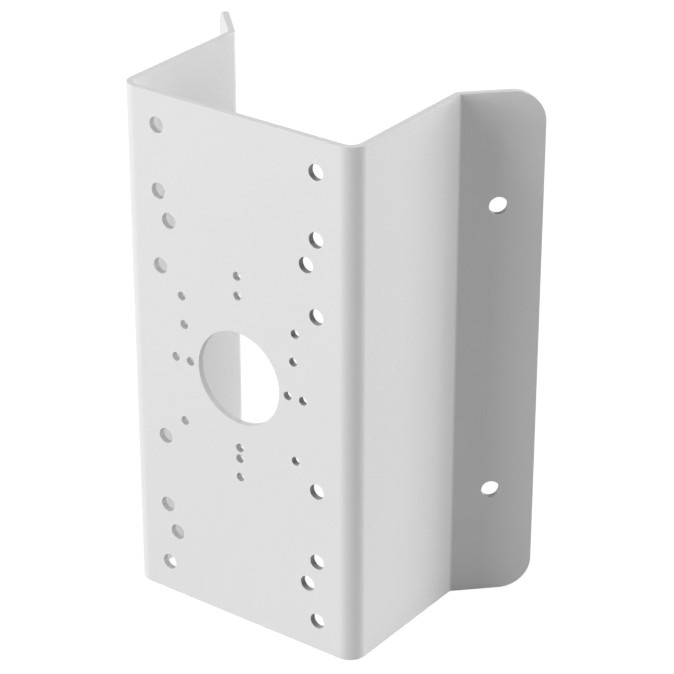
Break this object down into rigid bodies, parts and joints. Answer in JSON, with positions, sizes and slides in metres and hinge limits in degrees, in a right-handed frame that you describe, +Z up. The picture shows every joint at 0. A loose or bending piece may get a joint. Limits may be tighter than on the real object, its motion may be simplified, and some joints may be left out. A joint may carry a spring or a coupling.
{
  "type": "camera corner mount bracket",
  "caption": "Folded sheet steel bracket that carries a camera on an outside wall corner: drilled front plate with a cable hole, two side walls and two angled flanges.",
  "frame": {"origin": "on the plane of the lower edge, below the middle of the bracket's outer box", "axes": "+X across the front plate to the right as seen from the front, -Y out of the front plate towards the camera it carries, +Z up along the folds"},
  "size_m": [0.1804, 0.105, 0.25],
  "materials": {
    "powder_coat": "matte powder coat, pale grey, with a very fine grain"
  },
  "bodies": {
    "root": {"corner_bracket": "powder_coat"}
  },
  "joints": []
}
